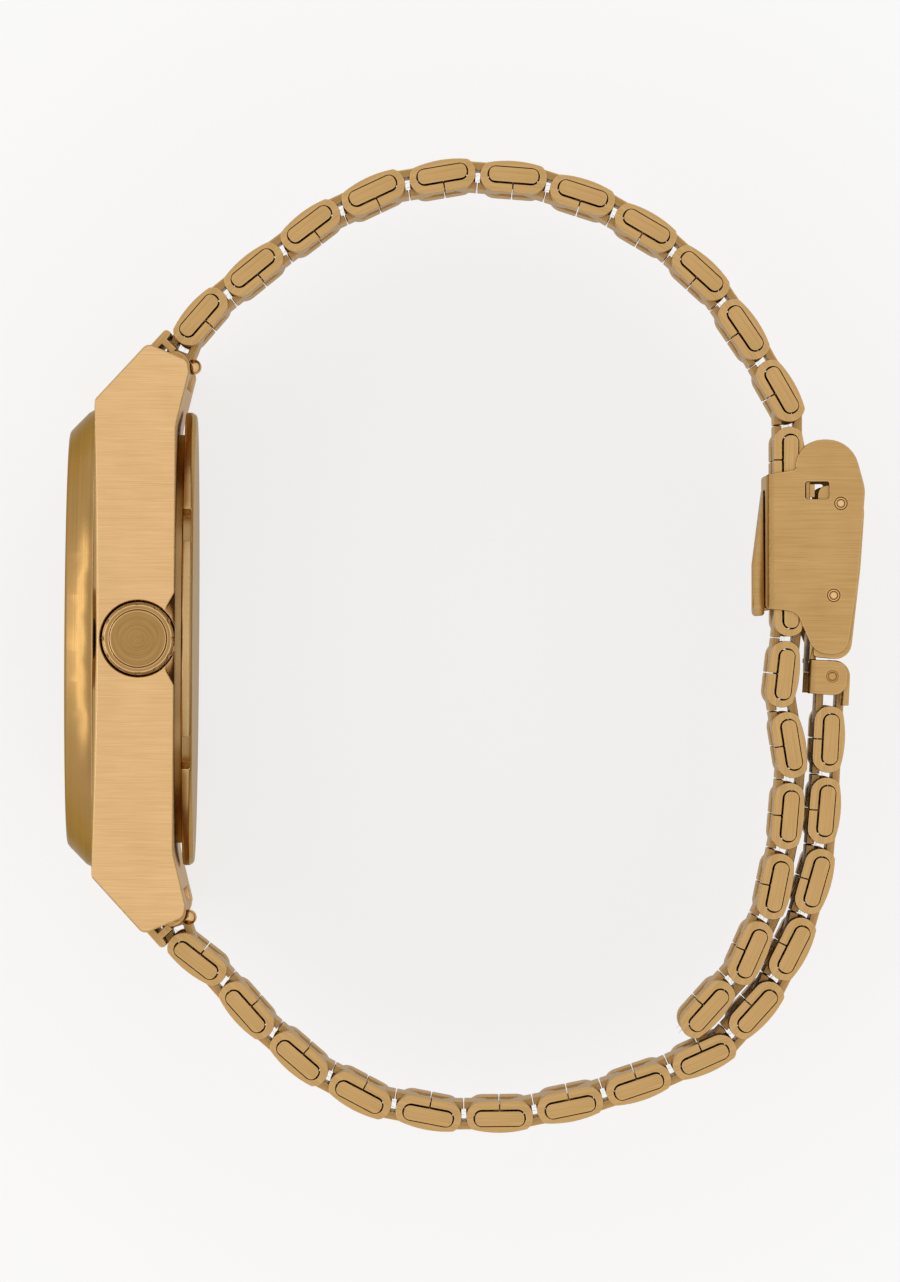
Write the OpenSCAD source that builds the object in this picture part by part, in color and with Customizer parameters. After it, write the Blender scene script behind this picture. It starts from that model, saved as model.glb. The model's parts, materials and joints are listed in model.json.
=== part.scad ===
// Analog wristwatch: cushion case with a round bezel, folded-link bracelet
// and a folding slide clasp. Millimetres.
// The watch lies on its 9 o'clock flank. +Z points to 3 o'clock, +Y to 12 o'clock
// and the dial faces -X. The origin is the centre of the 9 o'clock flank.

/* [Case] */
// Width of the case from the 9 o'clock flank to the 3 o'clock flank
case_w = 38; // [36:0.5:42]
// Thickness of the case middle from its front face to its back face
case_t = 6.5; // [6.3:0.1:7.5]
// Length of the flat front face between the two sloping ends
front_l = 38.2; // [36.5:0.1:40]
// Length over the lug tips
lug_l = 47.3; // [46.5:0.1:49]
// Distance between the two spring bars
bar_span = 43.8; // [43.4:0.1:44.6]
// Distance of the spring bars behind the middle of the case
bar_back = 2.95; // [2.6:0.05:3.1]
// How far the lug tips reach behind the back face
lug_drop = 1.05; // [0.8:0.05:1.4]
// Bevel along the front edge of each flank
flank_bevel = 0.5; // [0.3:0.05:0.7]
// Thickness of the case wall at 3 o'clock, outside the bore for the movement
case_wall = 2.9; // [2.7:0.05:3.2]

/* [Bezel and crystal] */
// How far the foot of the bezel lies inside the flanks of the case
bezel_inset = 0.3; // [0.1:0.05:0.6]
// Height of the bezel above the front face of the case
bezel_h = 2.35; // [2.1:0.05:2.8]
// Height of the lower step of the bezel
bezel_step = 0.8; // [0.5:0.05:1]
// How far the bezel draws in from its foot to its flat front rim
bezel_slant = 2.1; // [1.8:0.05:2.4]
// Width of the flat front rim of the bezel
rim_w = 1.2; // [0.9:0.05:1.3]
// Thickness of the crystal
crystal_t = 1.5; // [1.2:0.1:1.7]
// Thickness of the crystal gasket
gasket_t = 0.4; // [0.3:0.05:0.5]

/* [Dial and hands] */
// Thickness of the dial
dial_t = 0.4; // [0.3:0.05:0.5]
// Length of the hour hand from its axis
hour_len = 8.4; // [7:0.1:9.5]
// Length of the minute hand from its axis
minute_len = 12; // [10:0.1:12.6]
// Length of the second hand from its axis
second_len = 12.5; // [10:0.1:12.7]
// Length of each hour marker
marker_l = 2.6; // [1.5:0.1:3.4]

/* [Movement] */
// Width of the ring that holds the movement
holder_w = 3.3; // [2.6:0.1:4.5]
// Thickness of the movement
movement_t = 3; // [2.8:0.1:3.2]
// Diameter of the battery cell
battery_d = 7.9; // [6.8:0.1:9.5]
// Thickness of the battery cell
battery_t = 1.6; // [1.2:0.1:1.8]

/* [Case back] */
// How far the rim of the case back lies inside the flanks of the case
back_inset = 0.6; // [0.4:0.05:1]
// Thickness of the rim of the case back
back_rim_t = 0.9; // [0.7:0.05:1.1]
// Width of the groove between the case and the rim of the case back
back_groove = 0.55; // [0.4:0.05:0.7]
// Width of each wrench notch in the case back
notch_w = 3; // [2:0.1:4]
// Number of wrench notches
notch_n = 6; // [4:2:8]

/* [Crown] */
// Diameter of the crown
crown_d = 5.76; // [5:0.02:6]
// Length of the crown
crown_l = 2.9; // [2.6:0.1:3.4]
// Depth of the round recess that the crown sits in
crown_recess = 2; // [1.6:0.1:2.2]
// Offset of the crown axis behind the middle of the case
crown_back = 0.36; // [0:0.02:0.5]
// Number of grip scallops round the crown
scallop_n = 12; // [8:1:20]
// Travel of the crown when it is pulled to set the time
crown_travel = 1; // [0.6:0.1:1.2]

/* [Bracelet] */
// Width of the bracelet
band_w = 22; // [20:0.5:23]
// Width of each outer row of links
outer_row_w = 6; // [5.4:0.1:6.6]
// Thickness of a link
link_t = 2.54; // [2.5:0.02:2.7]
// Mean wall thickness of an outer link
sheet_t = 0.58; // [0.54:0.02:0.6]
// Thickness of the folded sheet of a centre link
centre_sheet_t = 0.64; // [0.5:0.02:0.7]
// Distance between the two rods of an outer link
rod_span = 2.84; // [2.7:0.02:3]
// Distance between rods across a centre link
gap_span = 2.92; // [2.86:0.02:3.1]
// Diameter of the rods
rod_d = 0.9; // [0.8:0.02:1]
// Length of the end link from the spring bar to the first rod
end_link_l = 3.2; // [3.1:0.02:3.3]
// Length of the clasp end link from the last rod to the bracket pin
clasp_link_l = 3.66; // [3.5:0.02:3.9]

/* [Clasp] */
// Thickness of the clasp sheet
clasp_t = 0.55; // [0.45:0.05:0.6]
// Side play between the bracelet and the clasp cheeks
clasp_play = 0.15; // [0.1:0.01:0.25]
// Diameter of the clasp pins
clasp_pin_d = 1; // [0.8:0.05:1.1]
// Width of the lock flap
flap_w = 9; // [6:0.5:12]

/* [Fits] */
// Radial play of a pin that turns in its hole
run_play = 0.06; // [0.04:0.01:0.08]
// Gap between neighbouring rows and between parts that only face each other
row_gap = 0.2; // [0.15:0.01:0.3]

/* [Hidden] */
UPPER_N = 20;
LOWER_N = 14;
// Links of the upper half that the clasp holds; they share one node
CLASPED_FIRST = 12;
CLASPED_LINK = 13;
CLASPED_LAST = 14;
function number(i) = str(i < 10 ? "0" : "", i);
function upper_name(i) =
    i >= CLASPED_FIRST && i <= CLASPED_LAST ? "clasped_links" : str("upper_link_", number(i));
function lower_name(i) = str("lower_link_", number(i));
$fn = 48;
EPS = 0.01;

// Colours
BRUSHED = "#C9A063";
POLISHED = "#DDB676";
STEEL = "#B9B7B0";
BRASS = "#B99A4C";
RUBBER = "#2B2A29";
PLASTIC = "#D8D6CE";

// Places along the dial axis, measured from the middle of the case towards the dial
case_front = case_t / 2;
case_rear = -case_t / 2;
dial_under = 1.72;
dial_top = dial_under + dial_t;
crystal_top = case_front + bezel_h - 0.08;
crystal_under = crystal_top - crystal_t;
crystal_seat = crystal_under - 0.02;
ring_under = dial_top + 0.03;
movement_top = dial_under - 0.05;
movement_rear = movement_top - movement_t;
hour_hand_w = dial_top + 0.35;
minute_hand_w = hour_hand_w + 0.35;
second_hand_w = minute_hand_w + 0.35;
hand_t = 0.15;
back_top = case_rear - back_groove;
back_bottom = back_top - back_rim_t;

// Radii round the dial axis
bezel_r = case_w / 2 - bezel_inset;
bezel_rim_r = bezel_r - bezel_slant;
crystal_seat_r = bezel_rim_r - rim_w;
crystal_r = crystal_seat_r - gasket_t;
back_r = case_w / 2 - back_inset;
cavity_r = case_w / 2 - case_wall;
dial_r = cavity_r - 1.1;
front_bore_r = dial_r - 0.6;
ring_r = front_bore_r - 0.1;
holder_r = cavity_r - 0.05;
movement_r = cavity_r - holder_w;
thread_r = cavity_r + 0.5;

// Bracelet and clasp
mid_z = case_w / 2;
band_z0 = mid_z - band_w / 2;
band_z1 = mid_z + band_w / 2;
centre_row_w = band_w - 2 * (outer_row_w + row_gap);
link_r = link_t / 2;
rod_r = rod_d / 2;
centre_r = rod_r + run_play + centre_sheet_t;
pitch = rod_span + gap_span;
end_piece_w = band_w - 0.3;
lug_gap = band_w + 0.2;
bar_r = 0.72;
bar_tip_r = 0.4;
pin_r = clasp_pin_d / 2;
cheek_in = band_w / 2 + clasp_play;
cheek_out = cheek_in + clasp_t;

// Directions and turns of the two bracelet halves as they lie round the wrist:
// first the end link's direction, then the turn at the first rod and at each hinge
UPPER_START = 68.5;
UPPER_TURNS = [
    -19, -10, -2, -12, -15.5, -14, -13.5, -12.5, -12, -13.5,
    -4.5, -29.5, 0, 0, -6.5, 15.5, -14, -6.5, -12.5, -18
];
LOWER_START = -71;
LOWER_TURNS = [33.5, -10.5, 7.5, 13, 17, 11.5, 11, 7, 5.5, 24, 15, 11, 11, 2];

upper_bar = [bar_back, bar_span / 2];
lower_bar = [bar_back, -bar_span / 2];

function heading(start, turns, i) = i < 0 ? start : heading(start, turns, i - 1) + turns[i];
function ray(a) = [cos(a), sin(a)];
function first_rod(bar, start) = bar + end_link_l * ray(start);
function far_rod(bar, start, turns, i) =
    i == 0
        ? first_rod(bar, start) + rod_span * ray(heading(start, turns, 0))
        : far_rod(bar, start, turns, i - 1) + pitch * ray(heading(start, turns, i));

upper_first_rod = first_rod(upper_bar, UPPER_START);
lower_first_rod = first_rod(lower_bar, LOWER_START);
lower_last_heading = heading(LOWER_START, LOWER_TURNS, LOWER_N - 1);
clasp_heading = heading(UPPER_START, UPPER_TURNS, CLASPED_LINK - 1);
clasp_origin = far_rod(upper_bar, UPPER_START, UPPER_TURNS, CLASPED_LINK - 1)
    - rod_span / 2 * ray(clasp_heading);

// Clasp pins in the clasp's own frame: x outwards, y towards the case
lid_pin = [4.12, 2.25];
latch_pin = [3.53, -5.15];
flap_pin = [-2.35, -6.35];
flap_pin_r = 0.2;
flap_knuckle_r = 0.42;
clasp_turn = clasp_heading + 90;
function clasp_point(p) = clasp_origin
    + [
        p.x * cos(clasp_turn) - p.y * sin(clasp_turn),
        p.x * sin(clasp_turn) + p.y * cos(clasp_turn)
    ];
bracket_pin = far_rod(lower_bar, LOWER_START, LOWER_TURNS, LOWER_N - 1)
    + clasp_link_l * ray(lower_last_heading);
lid_pin_at = clasp_point(lid_pin);
lever = bracket_pin - lid_pin_at;
lever_l = norm(lever);
lever_turn = atan2(lever.y, lever.x) + 90;

// Rounded outlines: each corner is [x, y, radius]
function unit(v) = v / norm(v);
function corner_points(p, q, s, r, n) =
    let (
        u = unit([p.x, p.y] - [q.x, q.y]),
        v = unit([s.x, s.y] - [q.x, q.y]),
        half = acos(max(-1, min(1, u * v))) / 2,
        c = [q.x, q.y] + unit(u + v) * r / sin(half),
        a0 = atan2(q.y + u.y * r / tan(half) - c.y, q.x + u.x * r / tan(half) - c.x),
        a1 = atan2(q.y + v.y * r / tan(half) - c.y, q.x + v.x * r / tan(half) - c.x),
        raw = a1 - a0,
        sweep = raw > 180 ? raw - 360 : raw < -180 ? raw + 360 : raw
    )
    r <= 0
        ? [[q.x, q.y]]
        : [for (k = [0:n]) c + r * ray(a0 + sweep * k / n)];
function rounded(corners, n = 5) = [
    for (i = [0:len(corners) - 1])
        each corner_points(
            corners[(i + len(corners) - 1) % len(corners)],
            corners[i],
            corners[(i + 1) % len(corners)],
            corners[i][2],
            n
        )
];

// Frames of reference
module dial_frame() {
    translate([0, 0, mid_z])
        rotate([0, -90, 0])
            children();
}
module clasp_frame_of_reference() {
    translate([clasp_origin.x, clasp_origin.y, mid_z])
        rotate([0, 0, clasp_turn])
            children();
}
module lever_frame() {
    translate([lid_pin_at.x, lid_pin_at.y, mid_z])
        rotate([0, 0, lever_turn])
            children();
}
module both_sides() {
    children();
    mirror([0, 0, 1])
        children();
}

// A disc or ring round the dial axis between two heights
module disc_at(r, w0, w1) {
    translate([0, 0, w0])
        cylinder(r = r, h = w1 - w0, $fn = 96);
}
module ring_at(r_out, r_in, w0, w1) {
    difference() {
        disc_at(r_out, w0, w1);
        disc_at(r_in, w0 - 1, w1 + 1);
    }
}

// Case middle
// How far the sloping ends run back for each millimetre that they run towards the lugs
SLOPE_RATIO = 0.92;
function case_corners() =
    let (
        front = -case_t / 2,
        back = case_t / 2,
        tip = lug_l / 2,
        slope_end = front + (tip - front_l / 2) * SLOPE_RATIO,
        upper = [
            [front, front_l / 2, 0.6],
            [slope_end, tip, 0.7],
            [back + lug_drop - 0.15, tip - 1.35, 0.7],
            [back + lug_drop, tip - 2.3, 0.6],
            [back, tip - 6.6, 4]
        ]
    )
    concat(upper, [for (i = [len(upper) - 1:-1:0]) [upper[i].x, -upper[i].y, upper[i][2]]]);

module lug_openings() {
    for (s = [-1, 1])
        translate([-case_t, s > 0 ? recess_wall : -recess_wall - lug_l, mid_z - lug_gap / 2])
            cube([3 * case_t, lug_l, lug_gap]);
}

module bar_holes() {
    depth = 1.1;
    for (bar = [upper_bar, lower_bar])
        translate([bar.x, bar.y, mid_z - lug_gap / 2 - depth])
            cylinder(r = bar_tip_r + run_play, h = lug_gap + 2 * depth);
}

// A shallow bevel whose long curve fades out towards the lugs
module flank_bevels() {
    sweep_r = 225;
    reach = 3;
    for (s = [0, 1])
        translate([case_front_x(), 0, s * case_w])
            mirror([0, 0, s])
                translate([0, 0, sweep_r])
                    rotate([0, 90, 0])
                        rotate([0, 0, 180 - 6])
                            rotate_extrude(angle = 12, $fn = 180)
                                polygon([
                                    [sweep_r - flank_bevel, 0],
                                    [sweep_r + reach, -reach],
                                    [sweep_r + reach, flank_bevel + reach],
                                    [sweep_r, flank_bevel]
                                ]);
}
function case_front_x() = -case_t / 2;

crown_r = crown_d / 2;
crown_floor = case_w - crown_recess;
crown_top = crown_floor + 0.15 + crown_l;
stem_r = 0.5;
tube_out = 1.2;
tube_in = stem_r + 0.12;
tube_up = 1.1;

module crown_cutouts() {
    translate([crown_back, 0, crown_floor])
        cylinder(r = crown_r + 0.16, h = 2 * crown_recess, $fn = 96);
    translate([crown_back, 0, mid_z + movement_r])
        cylinder(r = tube_in, h = case_w);
    // Finger slopes that open the back edge beside the crown
    translate([case_t / 2, 0, case_w])
        rotate([0, 45, 0])
            translate([-0.55, -3.7, -0.55])
                linear_extrude(1.1)
                    polygon([[0, 0], [1.4, 0], [1.4, 7.4], [0, 7.4], [-0.35, 5.5], [-0.35, 1.9]]);
}

module case_middle() {
    color(BRUSHED)
    difference() {
        union() {
            difference() {
                linear_extrude(case_w)
                    polygon(rounded(case_corners()));
                lug_openings();
                bar_holes();
                flank_bevels();
                crown_cutouts();
                dial_frame() {
                    disc_at(cavity_r, case_rear - 1, dial_under);
                    disc_at(thread_r, case_rear - 1, case_rear + 1.1);
                    disc_at(dial_r + 0.05, case_rear, dial_top + 0.01);
                    disc_at(front_bore_r, 0, case_front + 1);
                }
            }
            // Crown tube, pressed into the wall
            translate([crown_back, 0, mid_z + cavity_r - 0.3])
                cylinder(r = tube_out, h = crown_floor + tube_up - (mid_z + cavity_r - 0.3));
        }
        translate([crown_back, 0, mid_z + movement_r])
            cylinder(r = tube_in, h = case_w);
        dial_frame()
            disc_at(cavity_r, case_rear - 1, dial_under);
    }
}

// Bezel: a steep polished flank on a lower step, with a flat front rim
module bezel() {
    foot = case_front + 0.02;
    rim = case_front + bezel_h;
    step = case_front + bezel_step;
    color(POLISHED)
    dial_frame()
        rotate_extrude($fn = 120)
            polygon([
                [ring_r + 0.35, foot],
                [bezel_r - 0.02, foot],
                [bezel_r, foot + 0.05],
                [bezel_r - 0.4, step],
                [bezel_rim_r + 0.35, rim - 0.22],
                [bezel_rim_r + 0.12, rim - 0.05],
                [bezel_rim_r - 0.1, rim],
                [crystal_seat_r + 0.12, rim],
                [crystal_seat_r, rim - 0.12],
                [crystal_seat_r, crystal_seat],
                [ring_r + 0.35, crystal_seat]
            ]);
}

module crystal() {
    edge = 0.18;
    r = crystal_r;
    color("#DDE6EA", 0.35)
    dial_frame()
        rotate_extrude($fn = 120)
            polygon([
                [0, crystal_under],
                [r, crystal_under],
                [r, crystal_top - edge],
                [r - edge, crystal_top],
                [0, crystal_top]
            ]);
}

// Crystal gasket and case back gasket
module sealing_gaskets() {
    color(RUBBER)
    dial_frame() {
        ring_at(crystal_seat_r - 0.02, crystal_r + 0.02, crystal_seat, crystal_top - 0.3);
        ring_at(thread_r - 0.1, thread_r - 0.6, case_rear + 0.45, case_rear + 1.05);
    }
}

// Sloping ring between the dial and the crystal
module dial_ring() {
    color(BRUSHED)
    dial_frame()
        rotate_extrude($fn = 96)
            polygon([
                [ring_r - 1.1, ring_under],
                [ring_r, ring_under],
                [ring_r, crystal_under - 0.05],
                [ring_r - 0.45, crystal_under - 0.05]
            ]);
}

hand_hole_r = 0.8;
dial_face_r = ring_r - 1.1;

module dial() {
    color("#C7A667")
    dial_frame()
        ring_at(dial_r, hand_hole_r, dial_under, dial_top);
}

// Twelve applied batons, with a double one at 12 o'clock
module hour_markers() {
    marker_w = 0.9;
    marker_h = 0.25;
    outer = dial_face_r - 0.5;
    color(POLISHED)
    dial_frame()
        for (i = [0:11])
            rotate([0, 0, 30 * i])
                for (x = i == 0 ? [-0.65, 0.65] : [0])
                    translate([x - marker_w / 2, outer - marker_l, dial_top])
                        cube([marker_w, marker_l, marker_h]);
}

// Plastic ring that centres the movement
module movement_holder() {
    color(PLASTIC)
    difference() {
        dial_frame()
            ring_at(holder_r, movement_r + 0.05, movement_rear + 0.3, movement_top);
        translate([crown_back, 0, mid_z + movement_r - 1])
            cylinder(r = tube_out + 0.15, h = cavity_r);
    }
}

battery_place = [-5.2, -5.6];
pinion_r = 1.1;
pinion_z0 = movement_r - 3;
pinion_l = 1.4;
stem_z0 = movement_r - 4.2;

// Movement with its battery well, centre hole and stem tunnel
module movement() {
    cap_r = movement_r - 0.9;
    color(BRASS)
    difference() {
        dial_frame()
            difference() {
                union() {
                    disc_at(movement_r, movement_rear + 0.9, movement_top);
                    disc_at(cap_r, movement_rear, movement_rear + 0.9);
                }
                disc_at(0.72, movement_top - 2, movement_top + 1);
                translate([battery_place.x, battery_place.y, 0])
                    disc_at(battery_d / 2 + 0.05, movement_rear - 1, movement_rear + battery_t);
            }
        translate([crown_back, 0, mid_z + stem_z0 - crown_travel])
            cylinder(r = stem_r + run_play, h = cavity_r);
        translate([crown_back, 0, mid_z + pinion_z0 - 0.1])
            cylinder(r = pinion_r + run_play, h = pinion_l + 0.2);
    }
}

module battery() {
    color(STEEL)
    dial_frame()
        translate([battery_place.x, battery_place.y, 0]) {
            disc_at(battery_d / 2, movement_rear + 0.25, movement_rear + battery_t - 0.05);
            disc_at(battery_d / 2 - 0.5, movement_rear + 0.02, movement_rear + 0.25);
        }
}

// Screwed back with a neck, a shallow well and wrench notches in its rim
module case_back() {
    neck_r = thread_r - 0.05;
    rim_r = back_r;
    inner = case_rear + 0.35;
    color(POLISHED)
    dial_frame()
        difference() {
            rotate_extrude($fn = 120)
                polygon([
                    [0, inner],
                    [neck_r, inner],
                    [neck_r, back_top],
                    [rim_r - 0.1, back_top],
                    [rim_r, back_top - 0.1],
                    [rim_r, back_bottom + 0.3],
                    [rim_r - 0.35, back_bottom],
                    [0, back_bottom]
                ]);
            for (i = [0:notch_n - 1])
                rotate([0, 0, 360 / notch_n * (i + 0.5)])
                    translate([rim_r - 1.2, -notch_w / 2, back_bottom + 0.2])
                        cube([3, notch_w, back_rim_t]);
        }
}

// Pinion that the stem turns and slides through
module stem_pinion() {
    teeth = 12;
    color(BRASS)
    translate([crown_back, 0, mid_z + pinion_z0])
        difference() {
            linear_extrude(pinion_l)
                union() {
                    circle(r = pinion_r - 0.3);
                    for (i = [0:teeth - 1])
                        rotate(360 / teeth * i)
                            translate([0, -0.1])
                                square([pinion_r - 0.02, 0.2]);
                }
            translate([0, 0, -1])
                cylinder(r = stem_r + 0.03, h = pinion_l + 2);
        }
}

module winding_stem() {
    color(STEEL)
    translate([crown_back, 0, 0])
        difference() {
            translate([0, 0, mid_z + stem_z0])
                cylinder(r = stem_r, h = crown_top - 0.7 - mid_z - stem_z0);
            // Waist that the setting lever holds
            translate([0, 0, mid_z + pinion_z0 + pinion_l + 0.5])
                difference() {
                    cylinder(r = stem_r + 1, h = 0.4);
                    cylinder(r = stem_r - 0.18, h = 0.4);
                }
        }
}

// Crown with shallow grip scallops round a raised, dished face
module crown() {
    base = crown_floor + 0.15;
    grip_top = crown_top - 0.35;
    face_r = crown_r * 0.82;
    groove_r = 0.2;
    color(POLISHED)
    translate([crown_back, 0, 0])
        difference() {
            union() {
                translate([0, 0, base])
                    cylinder(r = crown_r, h = grip_top - base - 0.2, $fn = 96);
                translate([0, 0, grip_top - 0.2])
                    cylinder(r1 = crown_r, r2 = crown_r - 0.2, h = 0.2, $fn = 96);
                translate([0, 0, grip_top])
                    cylinder(r1 = face_r, r2 = face_r - 0.12, h = crown_top - grip_top, $fn = 96);
            }
            for (i = [0:scallop_n - 1])
                rotate([0, 0, 360 / scallop_n * i])
                    translate([crown_r + 0.02, 0, base - 1])
                        cylinder(r = groove_r, h = crown_l + 2, $fn = 24);
            translate([0, 0, base - 1])
                cylinder(r = tube_out + 0.12, h = 1 + tube_up + crown_travel * 0.3 + 0.2);
            translate([0, 0, base - 1])
                cylinder(r = stem_r + 0.01, h = crown_top - 0.69 - base + 1);
        }
}

// Baton hand: a tapered blade with a tail on a round boss
module baton(len, tail, width, boss_r, w) {
    translate([0, 0, w])
        linear_extrude(hand_t)
            union() {
                circle(r = boss_r);
                polygon([
                    [-width / 2, -tail],
                    [width / 2, -tail],
                    [width / 2, len - width],
                    [0, len],
                    [-width / 2, len - width]
                ]);
            }
}

hour_angle = -304;
minute_angle = -48;
second_angle = -216;
hour_bore = 0.44;
minute_bore = 0.21;

module hour_hand() {
    color(POLISHED)
    dial_frame()
        rotate([0, 0, hour_angle])
            difference() {
                union() {
                    baton(hour_len, 1.8, 1.3, 1.1, hour_hand_w);
                    disc_at(0.66, movement_top - 1.2, hour_hand_w + hand_t);
                }
                disc_at(hour_bore, movement_top - 3, hour_hand_w + 2);
            }
}

module minute_hand() {
    color(POLISHED)
    dial_frame()
        rotate([0, 0, minute_angle])
            difference() {
                union() {
                    baton(minute_len, 2.2, 1.05, 0.9, minute_hand_w);
                    disc_at(hour_bore - 0.06, movement_top - 1.5, minute_hand_w + hand_t);
                }
                disc_at(minute_bore, movement_top - 3, minute_hand_w + 2);
            }
}

module second_hand() {
    color(POLISHED)
    dial_frame()
        rotate([0, 0, second_angle]) {
            baton(second_len, 3.4, 0.3, 0.55, second_hand_w);
            disc_at(minute_bore - 0.06, movement_top - 1.8, second_hand_w + hand_t);
        }
}

// Spring bars between the lugs: a tube with a fixed tip at the 9 o'clock end
// and a bore and slot for the release pin at the 3 o'clock end
release_travel = 1.2;
release_l = 5;
knob_r = 0.62;
knob_reach = 1.58;
UPPER_KNOB_TURN = 0;
LOWER_KNOB_TURN = -19;
bar_z0 = mid_z - lug_gap / 2 + 0.15;
bar_z1 = mid_z + lug_gap / 2 - 0.15;
slot_top = bar_z1 - 1.3;
stalk_r = 0.28;

module spring_bar(knob_turn) {
    bore_r = bar_tip_r + 0.05;
    difference() {
        union() {
            translate([0, 0, bar_z0])
                cylinder(r = bar_r, h = bar_z1 - bar_z0);
            translate([0, 0, bar_z0 - 0.95])
                cylinder(r = bar_tip_r, h = 2);
        }
        translate([0, 0, bar_z1 - release_l - release_travel - 0.3])
            cylinder(r = bore_r, h = release_l * 2);
        rotate([0, 0, knob_turn])
            translate([0, -stalk_r - 0.05, slot_top - release_travel - 2 * stalk_r - 0.1])
                cube([2 * bar_r, 2 * stalk_r + 0.1, release_travel + 2 * stalk_r + 0.2]);
    }
}

module spring_bars() {
    color(STEEL) {
        translate([upper_bar.x, upper_bar.y, 0])
            spring_bar(UPPER_KNOB_TURN);
        translate([lower_bar.x, lower_bar.y, 0])
            spring_bar(LOWER_KNOB_TURN);
    }
}

// Release pin with its side stalk and round knob
module release_knob(bar, knob_turn) {
    stalk_z = slot_top - stalk_r;
    color(POLISHED)
    translate([bar.x, bar.y, 0]) {
        translate([0, 0, bar_z1 - release_l])
            cylinder(r = bar_tip_r, h = release_l + 0.95);
        translate([0, 0, stalk_z])
            rotate([0, 0, knob_turn])
                rotate([0, 90, 0]) {
                    cylinder(r = stalk_r, h = knob_reach);
                    translate([0, 0, knob_reach])
                        sphere(r = knob_r, $fn = 40);
                }
    }
}

// Bracelet links
// A folded link in profile: two rods, x along the band and y outwards
module stadium(span, r) {
    union() {
        circle(r = r);
        translate([span, 0])
            circle(r = r);
        translate([0, -r])
            square([span, 2 * r]);
    }
}

// Folded outer shell: crowned on the outside, with its seam on the wrist side.
// Its hollow sits a little outwards, so the wrist side is the thicker wall
hollow_shift = 0.1;
hollow_r = link_r - sheet_t;
seam_w = 0.08;
module fold_seam(span) {
    translate([(span - seam_w) / 2, -link_t])
        square([seam_w, link_t]);
}
module outer_shell_profile() {
    crown_sweep = 9;
    difference() {
        intersection() {
            stadium(rod_span, link_r);
            translate([rod_span / 2, link_r - crown_sweep])
                circle(r = crown_sweep, $fn = 180);
        }
        translate([0, hollow_shift])
            stadium(rod_span, hollow_r);
        fold_seam(rod_span);
    }
}

// End plug: it lies against the outer wall of the shell's hollow
module plug_profile() {
    slack = 0.04;
    end_r = 0.5;
    low = hollow_shift - hollow_r + 0.14;
    high = hollow_shift + hollow_r - slack;
    half_l = rod_span / 2 + end_r + 0.08;
    translate([rod_span / 2, 0])
        polygon(rounded([
            [-half_l, low, end_r],
            [half_l, low, end_r],
            [half_l, high, end_r],
            [-half_l, high, end_r]
        ], 5));
}

module centre_shell_profile(span) {
    difference() {
        stadium(span, centre_r);
        stadium(span, rod_r + run_play);
        fold_seam(span);
    }
}

// Two outer shells with their plugs and rods; the near rod is at the origin
module outer_pair() {
    plug_l = 3.4;
    both_sides()
        translate([0, 0, band_w / 2 - outer_row_w])
            linear_extrude(outer_row_w)
                outer_shell_profile();
    both_sides()
        translate([0, 0, band_w / 2 - plug_l - 0.04])
            linear_extrude(plug_l)
                plug_profile();
    for (x = [0, rod_span])
        translate([x, 0, -band_w / 2 + plug_l / 2])
            cylinder(r = rod_r, h = band_w - plug_l, $fn = 32);
}

module centre_shell(span) {
    translate([0, 0, -centre_row_w / 2])
        linear_extrude(centre_row_w)
            centre_shell_profile(span);
}

// A link as it hangs on the rod before it: centre shell first, then the outer pair
module full_link() {
    centre_shell(gap_span);
    translate([gap_span, 0, 0])
        outer_pair();
}

module placed_link(bar, start, turns, i, outwards) {
    hinge = far_rod(bar, start, turns, i - 1);
    translate([hinge.x, hinge.y, mid_z])
        rotate([0, 0, heading(start, turns, i)])
            scale([1, outwards, 1])
                children();
}

// End link, drawn for the 12 o'clock end in the case's own place: a sleeve round the
// spring bar, a tongue to the first rod and a cover plate that carries on the case's slope
sleeve_in = bar_r + run_play;
sleeve_out = sleeve_in + 0.5;
slope_run = lug_l / 2 - front_l / 2;
slope = atan2(slope_run, slope_run * SLOPE_RATIO);
slope_foot = [-case_t / 2, front_l / 2];
recess_wall = bar_span / 2 - 1.75;

module cover_plate(rod) {
    plate_t = 0.6;
    slope_gap = 0.1;
    wall_gap = 0.15;
    depth = slope_gap + plate_t;
    plate_in = (recess_wall + wall_gap + depth * cos(slope) - slope_foot.y) / sin(slope);
    plate_out = slope_run / sin(slope) + 1.9;
    difference() {
        translate([slope_foot.x, slope_foot.y, -end_piece_w / 2])
            rotate([0, 0, slope])
                linear_extrude(end_piece_w)
                    polygon(rounded([
                        [plate_in, -slope_gap, 0.15],
                        [plate_in, -slope_gap - plate_t, 0.1],
                        [plate_out, -slope_gap - plate_t, 0.2],
                        [plate_out, -slope_gap, 0.3]
                    ], 3));
        // Room for the outer shells of the first link
        translate([rod.x, rod.y, -band_w])
            cylinder(r = link_r + 0.12, h = 2 * band_w);
    }
}

module end_tongue() {
    hollow_from = sleeve_out + 0.15;
    hollow = rod_r + run_play;
    translate([0, 0, -centre_row_w / 2])
        linear_extrude(centre_row_w)
            difference() {
                stadium(end_link_l, centre_r);
                translate([end_link_l, 0])
                    circle(r = hollow);
                translate([hollow_from, -hollow])
                    square([end_link_l - hollow_from, 2 * hollow]);
            }
}

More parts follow.
